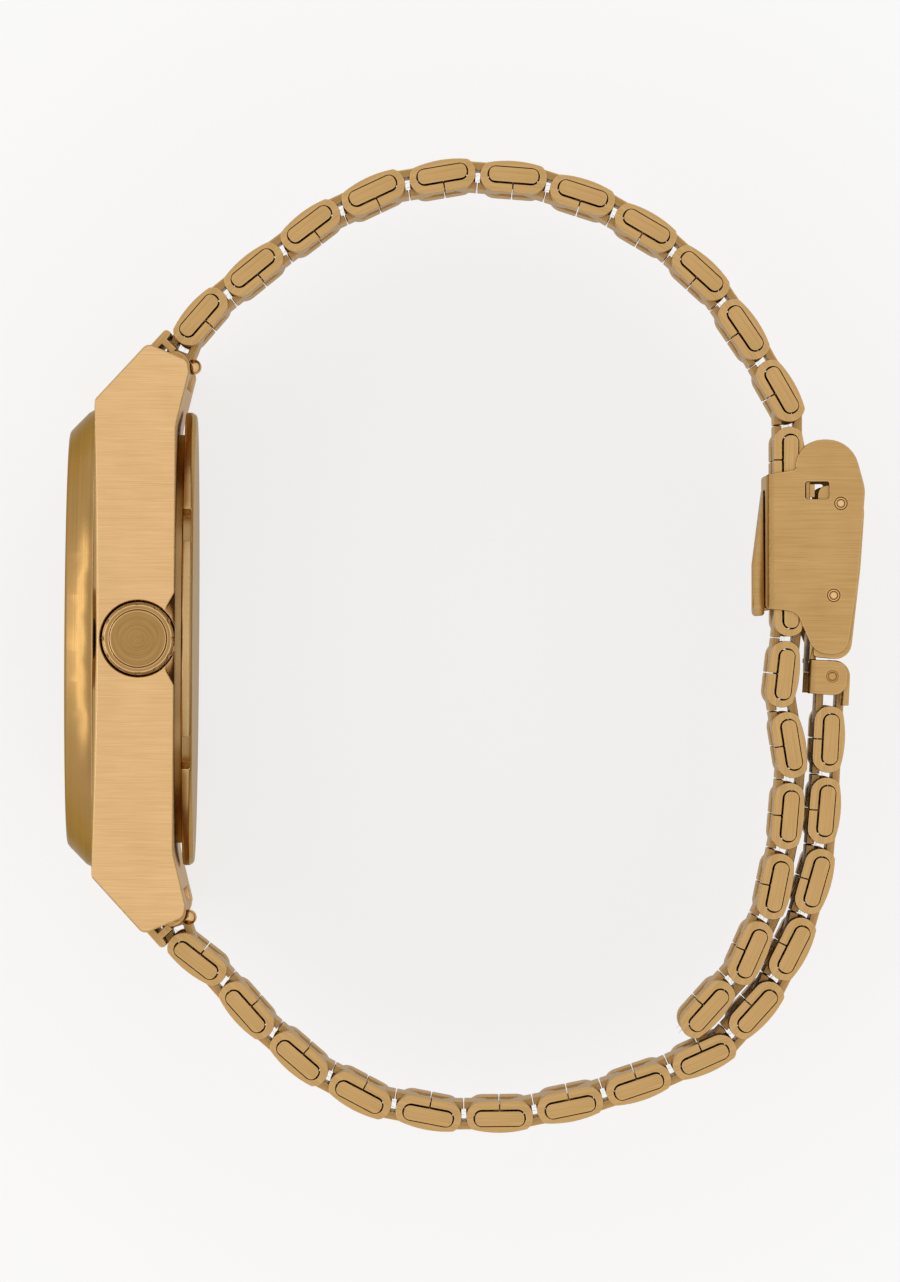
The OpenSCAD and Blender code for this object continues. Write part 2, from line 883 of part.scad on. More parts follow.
module end_link(rod, start) {
    fold_t = 0.55;
    window_h = release_travel + 2 * knob_r + 0.3;
    window_z = slot_top - stalk_r + knob_r + 0.15 - window_h - mid_z;
    cover_plate(rod);
    translate([bar_back, bar_span / 2, 0])
        difference() {
            union() {
                translate([0, 0, -end_piece_w / 2])
                    cylinder(r = sleeve_out, h = end_piece_w);
                rotate([0, 0, start])
                    end_tongue();
                // Fold that joins the sleeve to the cover plate
                translate([0, 0, -end_piece_w / 2])
                    rotate([0, 0, slope + 90])
                        translate([sleeve_in + 0.1, 0.05 - sleeve_out, 0])
                            cube([1.15, fold_t, end_piece_w]);
            }
            translate([0, 0, -band_w])
                cylinder(r = sleeve_in, h = 2 * band_w);
            // Window for the release knob
            translate([0, -1.8, window_z])
                cube([3, 3.6, window_h]);
        }
}

module placed_end_link(bar, start, outwards) {
    rod = first_rod(bar, start);
    color(BRUSHED)
    translate([0, 0, mid_z])
        scale([1, outwards, 1])
            end_link([rod.x, outwards * rod.y], outwards * start);
}

module first_link(bar, start, turns, outwards) {
    rod = first_rod(bar, start);
    translate([rod.x, rod.y, mid_z])
        rotate([0, 0, heading(start, turns, 0)])
            scale([1, outwards, 1])
                outer_pair();
}

// Clasp end link: a wide folded sleeve round the bracket pin and a narrow tongue
// to the last rod. The sleeve sits a little outwards, so that it clears the bracket
clasp_sleeve_in = pin_r + 0.3;
clasp_sleeve_t = 0.5;
clasp_sleeve_shift = 0.15;
module clasp_end_link() {
    wide = 2 * (cheek_in - 2 * clasp_t - 2 * row_gap);
    leaf_from = clasp_link_l - 2.3;
    difference() {
        union() {
            translate([clasp_link_l, clasp_sleeve_shift, -wide / 2])
                cylinder(r = clasp_sleeve_in + clasp_sleeve_t, h = wide);
            translate([0, 0, -centre_row_w / 2])
                linear_extrude(centre_row_w)
                    difference() {
                        stadium(clasp_link_l, centre_r);
                        stadium(clasp_link_l, rod_r + run_play);
                    }
            // Outer leaf of the fold
            translate([leaf_from, clasp_sleeve_shift + clasp_sleeve_in, -wide / 2])
                cube([clasp_link_l - leaf_from, clasp_sleeve_t, wide]);
        }
        translate([clasp_link_l, clasp_sleeve_shift, -band_w])
            cylinder(r = clasp_sleeve_in, h = 2 * band_w);
    }
}

// Links are counted from 1 at the case
module upper_link(i) {
    color(BRUSHED)
    if (i == 1)
        first_link(upper_bar, UPPER_START, UPPER_TURNS, 1);
    else
        placed_link(upper_bar, UPPER_START, UPPER_TURNS, i - 1, 1)
            full_link();
}

module lower_link(i) {
    color(BRUSHED) {
        if (i == 1)
            first_link(lower_bar, LOWER_START, LOWER_TURNS, -1);
        else
            placed_link(lower_bar, LOWER_START, LOWER_TURNS, i - 1, -1)
                full_link();
        if (i == LOWER_N)
            placed_link(lower_bar, LOWER_START, LOWER_TURNS, i - 1, -1)
                translate([pitch, 0, 0])
                    clasp_end_link();
    }
}

// Clasp
// Side cheek outline in the clasp's own frame
floor_x = -link_r - 0.05;
cheek_corners = [
    [floor_x - clasp_t, 4.6, 0.3],
    [0.5, 4.95, 0.25],
    [0.35, 7.4, 2.2],
    [5, 7.4, 2.6],
    [6.08, 3.4, 3],
    [5.42, -4.6, 15],
    [4.55, -9.9, 1.3],
    [2, -9.85, 1.6],
    [0.55, -6.45, 1.2],
    [floor_x - clasp_t, -6.2, 0.3]
];

// Windows in the cheeks for the ears of the friction plate
window_y = 2.6;
window_h = 1.4;

clasp_reach = 20;
module clasp_frame() {
    bend = 0.7;
    window = [1.92, window_h];
    window_at = [1.26, window_y];
    color(BRUSHED)
    clasp_frame_of_reference()
        difference() {
            union() {
                intersection() {
                    translate([0, 0, -cheek_out])
                        linear_extrude(2 * cheek_out)
                            polygon(rounded(cheek_corners, 7));
                    difference() {
                        channel_block(floor_x - clasp_t, cheek_out, bend);
                        channel_block(floor_x, cheek_in, bend - clasp_t);
                    }
                }
                front_bridge();
            }
            both_sides() {
                for (p = [lid_pin, latch_pin])
                    translate([p.x, p.y, cheek_in - 1])
                        cylinder(r = pin_r + 0.02, h = 3);
                translate([window_at.x, window_at.y, cheek_in - 1])
                    linear_extrude(3)
                        polygon(rounded([
                            [0, 0, 0.15],
                            [window.x, 0, 0.15],
                            [window.x, window.y, 0.15],
                            [0, window.y, 0.15]
                        ], 3));
            }
            // Slot for the knuckle and the nose of the lock flap
            translate([floor_x - 1, flap_pin.y - 1, -flap_w / 2])
                cube([2, 2.5, flap_w]);
        }
    clasp_frame_of_reference()
        both_sides()
            flap_ear();
}

// Ear that holds one end of the flap pin
module flap_ear() {
    ear_w = 0.6;
    ear_r = 0.4;
    translate([0, 0, flap_w / 2])
        linear_extrude(ear_w)
            difference() {
                union() {
                    translate([flap_pin.x, flap_pin.y])
                        circle(r = ear_r, $fn = 32);
                    translate([flap_pin.x - ear_r, flap_pin.y])
                        square([floor_x - clasp_t / 2 - flap_pin.x + ear_r, 0.9]);
                }
                translate([flap_pin.x, flap_pin.y])
                    circle(r = flap_pin_r + EPS, $fn = 24);
            }
}

// A bar with a rounded edge along y, used to bend the floor into the cheeks
module channel_block(x0, half_w, r) {
    rotate([90, 0, 0])
        translate([0, 0, -clasp_reach])
            linear_extrude(2 * clasp_reach)
                polygon(rounded([
                    [x0, -half_w, r],
                    [clasp_reach, -half_w, 0],
                    [clasp_reach, half_w, 0],
                    [x0, half_w, r]
                ], 4));
}

// Bent strip that closes the clasp over the incoming links
module front_bridge() {
    strip_from = [link_r + 0.12, 4.6];
    inner = [
        [1.1, 3.9, 0],
        [1.1, 6.95, 1.7],
        [4.75, 6.95, 2.1],
        [5.6, 3.9, 0]
    ];
    translate([0, 0, -cheek_in - 0.1])
        linear_extrude(2 * cheek_in + 0.2)
            intersection() {
                difference() {
                    polygon(rounded(cheek_corners, 7));
                    polygon(rounded(inner, 6));
                }
                translate(strip_from)
                    square([2 * clasp_reach, 2 * clasp_reach]);
            }
}

// Lid pin and latch pin with domed rivet heads, and the flap pin
rivet_r = pin_r - 0.14;
rivet_step = 0.14;
module riveted_pin(reach) {
    translate([0, 0, rivet_step - reach])
        cylinder(r = pin_r, h = 2 * (reach - rivet_step), $fn = 40);
    both_sides()
        translate([0, 0, reach - rivet_step - EPS])
            cylinder(r1 = rivet_r, r2 = rivet_r - 0.1, h = rivet_step + 0.06, $fn = 40);
}

module clasp_pins() {
    color(POLISHED)
    clasp_frame_of_reference() {
        for (p = [lid_pin, latch_pin])
            translate([p.x, p.y, 0])
                riveted_pin(cheek_out);
        translate([flap_pin.x, flap_pin.y, -flap_w / 2 - 0.6])
            cylinder(r = flap_pin_r, h = flap_w + 1.2, $fn = 24);
    }
}

// Sprung plate that grips the links, held by ears in the cheek windows
module friction_plate() {
    top = link_r + 0.04;
    plate_t = 0.35;
    color(STEEL)
    clasp_frame_of_reference() {
        translate([top, -2.2, -cheek_in + 0.15])
            cube([plate_t, 6.2, 2 * cheek_in - 0.3]);
        both_sides()
            translate([top + plate_t - 0.04, window_y + 0.15, cheek_in - 1.15])
                cube([0.4, window_h - 0.35, 1.5]);
    }
}

// Folding lever. Its frame has the lid pin at the origin and the bracket pin below
lid_side = cheek_in - row_gap;
lid_wall_t = clasp_t;
lid_corners = [
    [-1.9, 1.35, 0.8],
    [1.5, 1.7, 0.7],
    [1.93, -0.6, 3],
    [1.84, -5, 20],
    [1.35, 1.35 - lever_l, 1.3],
    [-1.6, 1.5 - lever_l, 0.3]
];

module lid_outline(shift) {
    translate(shift)
        polygon(rounded(lid_corners, 6));
}

module clasp_lid() {
    color(POLISHED)
    lever_frame()
        difference() {
            translate([0, 0, -lid_side])
                linear_extrude(2 * lid_side)
                    lid_outline([0, 0]);
            translate([0, 0, -lid_side + lid_wall_t])
                linear_extrude(2 * (lid_side - lid_wall_t))
                    union() {
                        lid_outline([-clasp_t, clasp_t]);
                        lid_outline([-clasp_t - 2, clasp_t]);
                        translate([-4, -1.5])
                            square([4, 8]);
                        translate([bracket_base_x - 1, -lever_l])
                            square([1 + clasp_t + 0.06, 4]);
                    }
            translate([0, 0, -lid_side - 1])
                cylinder(r = pin_r + run_play, h = 2 * lid_side + 2);
            latch_slot();
        }
}

// Open hooks that snap over the latch pin
module latch_slot() {
    d = latch_pin - lid_pin;
    a = clasp_turn - lever_turn;
    p = [d.x * cos(a) - d.y * sin(a), d.x * sin(a) + d.y * cos(a)];
    translate([p.x, p.y, -lid_side - 1])
        linear_extrude(2 * lid_side + 2)
            union() {
                circle(r = pin_r + row_gap / 2);
                translate([0, -pin_r - row_gap / 2])
                    polygon([
                        [0, 0],
                        [0, 2 * pin_r + row_gap],
                        [-4, 2 * pin_r + row_gap + 1.8],
                        [-4, 0.3]
                    ]);
            }
}

// Bracket that carries the bracket pin, with a tongue up into the lid. Its wrist side
// is open below the pin, where the clasp end link swings in
bracket_base_x = -1.95;
module end_bracket() {
    base_x = bracket_base_x;
    side = lid_side;
    bottom = -lever_l - 1.45;
    top = -lever_l + 1.28;
    base_from = -lever_l + 0.2;
    color(BRUSHED)
    lever_frame()
        union() {
            difference() {
                intersection() {
                    translate([0, 0, -side])
                        linear_extrude(2 * side)
                            polygon(rounded([
                                [base_x, bottom, 0.1],
                                [1.2, bottom - 0.1, 1.15],
                                [1.2, top, 1.15],
                                [base_x, top, 0.1]
                            ], 6));
                    difference() {
                        channel_block_at(base_x, side, 0.65, lever_l);
                        channel_block_at(base_x + clasp_t, side - clasp_t, 0.1, lever_l);
                        translate([base_x - 1, base_from - 4, -side + clasp_t])
                            cube([2, 4, 2 * (side - clasp_t)]);
                    }
                }
                translate([0, -lever_l, -band_w])
                    cylinder(r = pin_r - 0.01, h = 2 * band_w);
            }
            // Tongue between the lid's walls
            translate([base_x, top - 0.3, -side + clasp_t])
                cube([clasp_t, 2.6, 2 * (side - clasp_t)]);
            translate([0, -lever_l, 0])
                riveted_pin(side);
        }
}

module channel_block_at(x0, half_w, r, drop) {
    translate([0, -drop, 0])
        channel_block(x0, half_w, r);
}

// Flap on the wrist side. Its nose reaches through the floor and locks the links
module lock_flap() {
    tip_y = 3.4;
    low = floor_x - clasp_t - 0.05;
    top = flap_pin.x - flap_knuckle_r + 0.17;
    length = flap_w - 0.3;
    nose_x = -link_r - 0.08;
    color(BRUSHED)
    clasp_frame_of_reference()
        translate([0, 0, -length / 2])
            difference() {
                union() {
                    linear_extrude(length)
                        polygon(rounded([
                            [low, tip_y, 0],
                            [low, flap_pin.y - 0.3, 0],
                            [top, flap_pin.y - 0.3, 0],
                            [top, -2.3, 0.5],
                            [low - 0.1, tip_y, 0]
                        ], 4));
                    translate([flap_pin.x, flap_pin.y, 0])
                        cylinder(r = flap_knuckle_r, h = length, $fn = 32);
                    translate([flap_pin.x + 0.1, flap_pin.y + 0.05, 0])
                        cube([nose_x - flap_pin.x - 0.1, 0.65, length]);
                }
                translate([flap_pin.x, flap_pin.y, -1])
                    cylinder(r = flap_pin_r + 0.05, h = length + 2, $fn = 24);
            }
}

case_middle();
bezel();
crystal();
sealing_gaskets();
dial_ring();
dial();
hour_markers();
movement_holder();
movement();
battery();
case_back();
stem_pinion();
winding_stem();
crown();
hour_hand();
minute_hand();
second_hand();
spring_bars();
release_knob(upper_bar, UPPER_KNOB_TURN);  // upper_release_knob
release_knob(lower_bar, LOWER_KNOB_TURN);  // lower_release_knob
clasp_frame();
clasp_pins();
friction_plate();
clasp_lid();
end_bracket();
lock_flap();
placed_end_link(upper_bar, UPPER_START, 1);  // upper_end_link
placed_end_link(lower_bar, LOWER_START, -1);  // lower_end_link
for (i = [1:UPPER_N])
    upper_link(i);
for (i = [1:LOWER_N])
    lower_link(i);
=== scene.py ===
"""Looks of the analog wristwatch: finishes, added detail, studio and camera.

The watch lies on its 9 o'clock flank: +Z points to the crown, +Y to 12 o'clock and the
dial faces -X. Lengths are in metres, or in millimetres where the name ends in _mm.
"""

import json
import logging
import math
from dataclasses import dataclass, field
from enum import Enum, IntEnum
from typing import Callable

import bmesh
import bpy
from mathutils import Matrix, Vector


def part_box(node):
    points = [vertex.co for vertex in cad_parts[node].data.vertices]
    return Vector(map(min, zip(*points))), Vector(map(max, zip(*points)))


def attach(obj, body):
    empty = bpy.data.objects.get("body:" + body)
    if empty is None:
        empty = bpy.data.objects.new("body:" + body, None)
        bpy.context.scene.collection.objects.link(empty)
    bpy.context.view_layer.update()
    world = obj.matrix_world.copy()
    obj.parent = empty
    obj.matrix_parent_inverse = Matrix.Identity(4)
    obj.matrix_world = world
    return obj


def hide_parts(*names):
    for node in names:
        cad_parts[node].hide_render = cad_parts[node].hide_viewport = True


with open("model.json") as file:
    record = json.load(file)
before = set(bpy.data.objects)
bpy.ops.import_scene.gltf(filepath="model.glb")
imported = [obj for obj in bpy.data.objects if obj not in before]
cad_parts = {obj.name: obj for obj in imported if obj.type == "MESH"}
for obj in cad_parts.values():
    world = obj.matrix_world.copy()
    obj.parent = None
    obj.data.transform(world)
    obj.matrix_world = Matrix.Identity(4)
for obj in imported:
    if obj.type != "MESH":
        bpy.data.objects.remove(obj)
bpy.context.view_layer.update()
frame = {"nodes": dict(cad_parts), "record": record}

LOG = logging.getLogger("wristwatch")
MM = 0.001

# Height of the dial's axis above the flank that the watch lies on
AXIS_Z_MM = 19.0
# Faces that meet at less than this angle are shaded as one smooth surface
SMOOTH_DEG = 35.0
# A gold-coloured coating keeps its colour where it is seen at a low angle
EDGE_TINT = "#C9BBA0"

BODY_OF = {
    node: body
    for body, nodes in frame["record"]["behaviour"]["bodies"].items()
    for node in nodes
}
SLOT_OF = {s["node"]: s["material_slot"] for s in frame["record"]["subparts"]}


class Grain(Enum):
    """The way in which a metal face was worked, which its fine lines follow.

    The value scales each axis of the place that the lines are drawn from.
    """

    STRAIGHT = (0.015, 1.0, 1.0)
    TURNED_ABOUT_DIAL = (0.0, 1.0, 1.0)
    TURNED_ABOUT_CROWN = (1.0, 1.0, 0.0)

    @property
    def turned(self) -> bool:
        """Tells whether the lines run in circles, as a lathe leaves them."""
        return self in (Grain.TURNED_ABOUT_DIAL, Grain.TURNED_ABOUT_CROWN)


class Layer(IntEnum):
    """Which of a soft-edged piece's finishes a face wears."""

    FACE = 0
    EDGE = 1
    FACET = 2


def linear(hex_colour: str) -> tuple[float, float, float, float]:
    """Turns an sRGB hex colour into the linear colour that a shader reads.

    Args:
        hex_colour: a colour such as "#C9A063".

    Returns:
        Linear red, green and blue, and an alpha of 1.
    """
    raw = hex_colour.lstrip("#")
    channels = [int(raw[i : i + 2], 16) / 255 for i in (0, 2, 4)]
    lin = [c / 12.92 if c <= 0.04045 else ((c + 0.055) / 1.055) ** 2.4 for c in channels]
    return (lin[0], lin[1], lin[2], 1.0)


def near(value_mm: float, target_mm: float, within_mm: float = 0.01) -> bool:
    """Tells whether two lengths differ by less than the third."""
    return abs(value_mm - target_mm) < within_mm


def add_node(
    tree: bpy.types.NodeTree,
    kind: str,
    settings: dict | None = None,
    links: dict | None = None,
) -> bpy.types.Node:
    """Adds one shader node with its settings and its incoming links.

    Args:
        tree: the material's or the world's node tree.
        kind: the node's type name, such as "ShaderNodeBump".
        settings: attributes by name, and socket values by socket name or number.
        links: output sockets by the name or number of the input that they feed.

    Returns:
        The new node.
    """
    node = tree.nodes.new(kind)
    for name, value in (settings or {}).items():
        if isinstance(name, int) or name in node.inputs:
            node.inputs[name].default_value = value
        else:
            setattr(node, name, value)
    for name, socket in (links or {}).items():
        tree.links.new(socket, node.inputs[name])
    return node


def new_material(name: str) -> tuple[bpy.types.Material, bpy.types.NodeTree]:
    """Makes an empty node material.

    Args:
        name: the material's name.

    Returns:
        The material and its cleared node tree.
    """
    material = bpy.data.materials.new(name)
    material.use_nodes = True
    material.node_tree.nodes.clear()
    return material, material.node_tree


@dataclass(frozen=True)
class Finish:
    """A surface finish that builds its own node material.

    `frame_attribute` names the mesh attribute that gives the place on the piece. Without
    one, the place is read in the shared frame.
    """

    name: str
    frame_attribute: str = field(default="", kw_only=True)

    def build(self) -> bpy.types.Material:
        """Builds the finish's material."""
        raise NotImplementedError

    def _place(self, tree: bpy.types.NodeTree) -> bpy.types.NodeSocket:
        """Gives the place on the piece: its own attribute, or the shared frame.

        Args:
            tree: the material's node tree.

        Returns:
            The socket with the place in metres.
        """
        if self.frame_attribute:
            own = add_node(tree, "ShaderNodeAttribute", {"attribute_name": self.frame_attribute})
            return own.outputs["Vector"]
        return add_node(tree, "ShaderNodeTexCoord").outputs["Object"]


@dataclass(frozen=True)
class PlatedSteel(Finish):
    """Stainless steel with a gold-coloured vapour coating, brushed, turned or polished.

    The working leaves fine lines, which change the gloss, the tone and the relief across
    themselves and hardly along themselves. They are drawn some 0.06 mm wide, a little
    coarser than the real ones, so that they show at this distance. Wide, faint clouds
    change the tone as well.
    """

    colour: str = "#DDB47D"
    dark: str = "#C9A06A"
    roughness: float = 0.3
    gloss_change: float = 0.04
    relief: float = 0.1
    grain: Grain = Grain.STRAIGHT
    line_mm: float = 0.06
    centre_mm: tuple[float, float, float] = (0.0, 0.0, 0.0)
    relief_depth_mm: float = 0.004
    cloud_mm: float = 3.0
    cloud_share: float = 0.35
    tone_range: tuple[float, float] = (0.4, 0.95)
    gloss_range: tuple[float, float] = (0.3, 0.8)
    # How far round its circle a turned line keeps its tone: smaller is longer
    ring_drift: float = 0.6
    # A face looks along X if its normal's X is larger than this
    facing_limit: float = 0.7

    def build(self) -> bpy.types.Material:
        """Builds the coated metal's material.

        Returns:
            The new material.
        """
        material, tree = new_material(self.name)
        place = self._place(tree)
        lines = add_node(
            tree,
            "ShaderNodeTexNoise",
            {"Scale": 1 / (self.line_mm * MM), "Detail": 2.0, "Roughness": 0.6},
            {"Vector": self._along_grain(tree, place)},
        )
        clouds = add_node(
            tree,
            "ShaderNodeTexNoise",
            {"Scale": 1 / (self.cloud_mm * MM), "Detail": 3.0},
            {"Vector": place},
        )
        blend = add_node(
            tree,
            "ShaderNodeMath",
            {"operation": "MULTIPLY_ADD", 1: self.cloud_share},
            {0: clouds.outputs["Fac"], 2: lines.outputs["Fac"]},
        )
        tone = add_node(
            tree,
            "ShaderNodeMapRange",
            {"From Min": self.tone_range[0], "From Max": self.tone_range[1]},
            {"Value": blend.outputs["Value"]},
        )
        colour = add_node(
            tree,
            "ShaderNodeMix",
            {"data_type": "RGBA", 6: linear(self.dark), 7: linear(self.colour)},
            {0: tone.outputs["Result"]},
        )
        gloss = add_node(
            tree,
            "ShaderNodeMapRange",
            {
                "From Min": self.gloss_range[0],
                "From Max": self.gloss_range[1],
                "To Min": self.roughness + self.gloss_change,
                "To Max": self.roughness - self.gloss_change,
            },
            {"Value": lines.outputs["Fac"]},
        )
        relief = add_node(
            tree,
            "ShaderNodeBump",
            {"Strength": self.relief, "Distance": self.relief_depth_mm * MM},
            {"Height": lines.outputs["Fac"]},
        )
        shader = add_node(
            tree,
            "ShaderNodeBsdfPrincipled",
            {"Metallic": 1.0, "Specular Tint": linear(EDGE_TINT)},
            {
                "Base Color": colour.outputs[2],
                "Roughness": gloss.outputs["Result"],
                "Normal": relief.outputs["Normal"],
            },
        )
        add_node(tree, "ShaderNodeOutputMaterial", {}, {"Surface": shader.outputs["BSDF"]})
        return material

    def _along_grain(
        self, tree: bpy.types.NodeTree, place: bpy.types.NodeSocket
    ) -> bpy.types.NodeSocket:
        """Stretches the place along the lines, straight or in circles.

        Args:
            tree: the material's node tree.
            place: the socket with the place in metres.

        Returns:
            The socket that the line noise reads.
        """
        if self.grain.turned:
            return self._circular_grain(tree, place)
        return self._straight_grain(tree, place)

    def _circular_grain(
        self, tree: bpy.types.NodeTree, place: bpy.types.NodeSocket
    ) -> bpy.types.NodeSocket:
        """Turns the place into the distance from the axis, with a small drift round it.

        Args:
            tree: the material's node tree.
            place: the socket with the place in metres.

        Returns:
            The socket that the line noise reads.
        """
        middle = add_node(
            tree,
            "ShaderNodeMapping",
            {"Location": tuple(-c * MM for c in self.centre_mm)},
            {"Vector": place},
        )
        flat = add_node(
            tree,
            "ShaderNodeVectorMath",
            {"operation": "MULTIPLY", 1: self.grain.value},
            {0: middle.outputs["Vector"]},
        )
        radius = add_node(
            tree, "ShaderNodeVectorMath", {"operation": "LENGTH"}, {0: flat.outputs["Vector"]}
        )
        ray = add_node(
            tree, "ShaderNodeVectorMath", {"operation": "NORMALIZE"}, {0: flat.outputs["Vector"]}
        )
        drift = add_node(
            tree,
            "ShaderNodeVectorMath",
            {"operation": "SCALE", "Scale": self.ring_drift * self.line_mm * MM},
            {0: ray.outputs["Vector"]},
        )
        across = add_node(tree, "ShaderNodeCombineXYZ", {}, {"X": radius.outputs["Value"]})
        ring = add_node(
            tree,
            "ShaderNodeVectorMath",
            {"operation": "ADD"},
            {0: drift.outputs["Vector"], 1: across.outputs["Vector"]},
        )
        return ring.outputs["Vector"]

    def _straight_grain(
        self, tree: bpy.types.NodeTree, place: bpy.types.NodeSocket
    ) -> bpy.types.NodeSocket:
        """Stretches the place along X, and along Y on faces that look along X.

        Args:
            tree: the material's node tree.
            place: the socket with the place in metres.

        Returns:
            The socket that the line noise reads.
        """
        long, wide, high = self.grain.value
        along_x = add_node(
            tree, "ShaderNodeMapping", {"Scale": (long, wide, high)}, {"Vector": place}
        )
        if self.frame_attribute:
            return along_x.outputs["Vector"]
        along_y = add_node(
            tree, "ShaderNodeMapping", {"Scale": (wide, long, high)}, {"Vector": place}
        )
        normal = add_node(tree, "ShaderNodeTexCoord").outputs["Normal"]
        parts = add_node(tree, "ShaderNodeSeparateXYZ", {}, {"Vector": normal})
        size = add_node(tree, "ShaderNodeMath", {"operation": "ABSOLUTE"}, {0: parts.outputs["X"]})
        looks_along_x = add_node(
            tree,
            "ShaderNodeMath",
            {"operation": "GREATER_THAN", 1: self.facing_limit},
            {0: size.outputs["Value"]},
        )
        chosen = add_node(
            tree,
            "ShaderNodeMix",
            {"data_type": "VECTOR"},
            {
                0: looks_along_x.outputs["Value"],
                4: along_x.outputs["Vector"],
                5: along_y.outputs["Vector"],
            },
        )
        return chosen.outputs[1]


@dataclass(frozen=True)
class SunrayPlating(Finish):
    """Gold-coloured dial brushed outwards from its centre.

    The brush leaves fine rays from the centre to the edge, and the light slides round
    over them. Each ray has its own tone and a shallow relief.
    """

    colour: str = "#C09C62"
    dark: str = "#A07D48"
    roughness: float = 0.3
    radius_mm: float = 14.0
    # Width of a ray at the edge, drawn coarser than the brush leaves it, so that it shows
    ray_mm: float = 0.35
    relief: float = 0.3
    relief_depth_mm: float = 0.005

    def build(self) -> bpy.types.Material:
        """Builds the dial's material.

        Returns:
            The new material.
        """
        material, tree = new_material(self.name)
        flat = add_node(
            tree,
            "ShaderNodeVectorMath",
            {"operation": "MULTIPLY", 1: Grain.TURNED_ABOUT_DIAL.value},
            {0: self._place(tree)},
        )
        centred = add_node(
            tree,
            "ShaderNodeVectorMath",
            {"operation": "SUBTRACT", 1: (0.0, 0.0, AXIS_Z_MM * MM)},
            {0: flat.outputs["Vector"]},
        )
        ray = add_node(
            tree, "ShaderNodeVectorMath", {"operation": "NORMALIZE"}, {0: centred.outputs["Vector"]}
        )
        rays = add_node(
            tree,
            "ShaderNodeTexNoise",
            {"Scale": self.radius_mm / self.ray_mm, "Detail": 2.0},
            {"Vector": ray.outputs["Vector"]},
        )
        colour = add_node(
            tree,
            "ShaderNodeMix",
            {"data_type": "RGBA", 6: linear(self.dark), 7: linear(self.colour)},
            {0: rays.outputs["Fac"]},
        )
        relief = add_node(
            tree,
            "ShaderNodeBump",
            {"Strength": self.relief, "Distance": self.relief_depth_mm * MM},
            {"Height": rays.outputs["Fac"]},
        )
        shader = add_node(
            tree,
            "ShaderNodeBsdfPrincipled",
            {"Metallic": 1.0, "Roughness": self.roughness},
            {"Base Color": colour.outputs[2], "Normal": relief.outputs["Normal"]},
        )
        add_node(tree, "ShaderNodeOutputMaterial", {}, {"Surface": shader.outputs["BSDF"]})
        return material


@dataclass(frozen=True)
class PlainFinish(Finish):
    """A finish whose own colour varies a little, such as plastic, rubber or bare steel."""

    colour: str
    dark: str
    metallic: float = 0.0
    roughness: float = 0.5
    grain_mm: float = 0.3
    relief: float = 0.1
    relief_depth_mm: float = 0.01

    def build(self) -> bpy.types.Material:
        """Builds the plain finish's material.

        Returns:
            The new material.
        """
        material, tree = new_material(self.name)
        grain = add_node(
            tree,
            "ShaderNodeTexNoise",
            {"Scale": 1 / (self.grain_mm * MM), "Detail": 3.0},
            {"Vector": self._place(tree)},
        )
        colour = add_node(
            tree,
            "ShaderNodeMix",
            {"data_type": "RGBA", 6: linear(self.dark), 7: linear(self.colour)},
            {0: grain.outputs["Fac"]},
        )
        relief = add_node(
            tree,
            "ShaderNodeBump",
            {"Strength": self.relief, "Distance": self.relief_depth_mm * MM},
            {"Height": grain.outputs["Fac"]},
        )
        shader = add_node(
            tree,
            "ShaderNodeBsdfPrincipled",
            {"Metallic": self.metallic, "Roughness": self.roughness},
            {"Base Color": colour.outputs[2], "Normal": relief.outputs["Normal"]},
        )
        add_node(tree, "ShaderNodeOutputMaterial", {}, {"Surface": shader.outputs["BSDF"]})
        return material


@dataclass(frozen=True)
class MineralGlass(Finish):
    """Clear mineral glass: see-through, with a sharp reflection and a trace of green."""

    colour: str = "#F4F8F7"
    roughness: float = 0.02
    ior: float = 1.52

    def build(self) -> bpy.types.Material:
        """Builds the crystal's material.

        Returns:
            The new material.
        """
        material, tree = new_material(self.name)
        shader = add_node(
            tree,
            "ShaderNodeBsdfPrincipled",
            {
                "Base Color": linear(self.colour),
                "Roughness": self.roughness,
                "IOR": self.ior,
                "Transmission Weight": 1.0,
            },
        )
        add_node(tree, "ShaderNodeOutputMaterial", {}, {"Surface": shader.outputs["BSDF"]})
        return material


LINK_FRAME = "link_frame"
DIAL_CENTRE_MM = (0.0, 0.0, AXIS_Z_MM)
CROWN_CENTRE_MM = (0.36, 0.0, 0.0)

# The flanks and slopes are drawn over an abrasive belt before coating: fine lines across
# the case and a broad, soft shine. They face the photograph's light and look the palest
BRUSHED_CASE = PlatedSteel("brushed_gold_plated_case", colour="#E6BC86", dark="#D3A973")
# Buffed before coating: hardly any lines, a sharper shine
POLISHED_PLATING = PlatedSteel(
    "polished_gold_plating",
    colour="#E2BD88",
    dark="#D8B27C",
    roughness=0.16,
    gloss_change=0.03,
    relief=0.02,
)
# Edges that tumbling and wear have rubbed smoother than the faces beside them
RUBBED_EDGE = PlatedSteel(
    "rubbed_gold_plated_edge",
    colour="#D8B47E",
    dark="#C29C66",
    roughness=0.22,
    gloss_change=0.04,
    relief=0.03,
    line_mm=0.2,
)
# Turned and then lightly polished: rings too fine to feel. Its gold is painted darker all over than
# the coating's own: painted shade that stands for the dark reflections towards the bezel's ends
TURNED_BEZEL_PAINTED_SHADE = PlatedSteel(
    "turned_gold_plated_bezel_painted_shade",
    colour="#B18C57",
    dark="#A07D4B",
    roughness=0.26,
    gloss_change=0.02,
    relief=0.02,
    grain=Grain.TURNED_ABOUT_DIAL,
    centre_mm=DIAL_CENTRE_MM,
)
# Left as it comes from the lathe: rings round the case back's centre
TURNED_BACK = PlatedSteel(
    "turned_gold_plated_back",
    colour="#CCAC7B",
    dark="#B39362",
    grain=Grain.TURNED_ABOUT_DIAL,
    centre_mm=DIAL_CENTRE_MM,
)
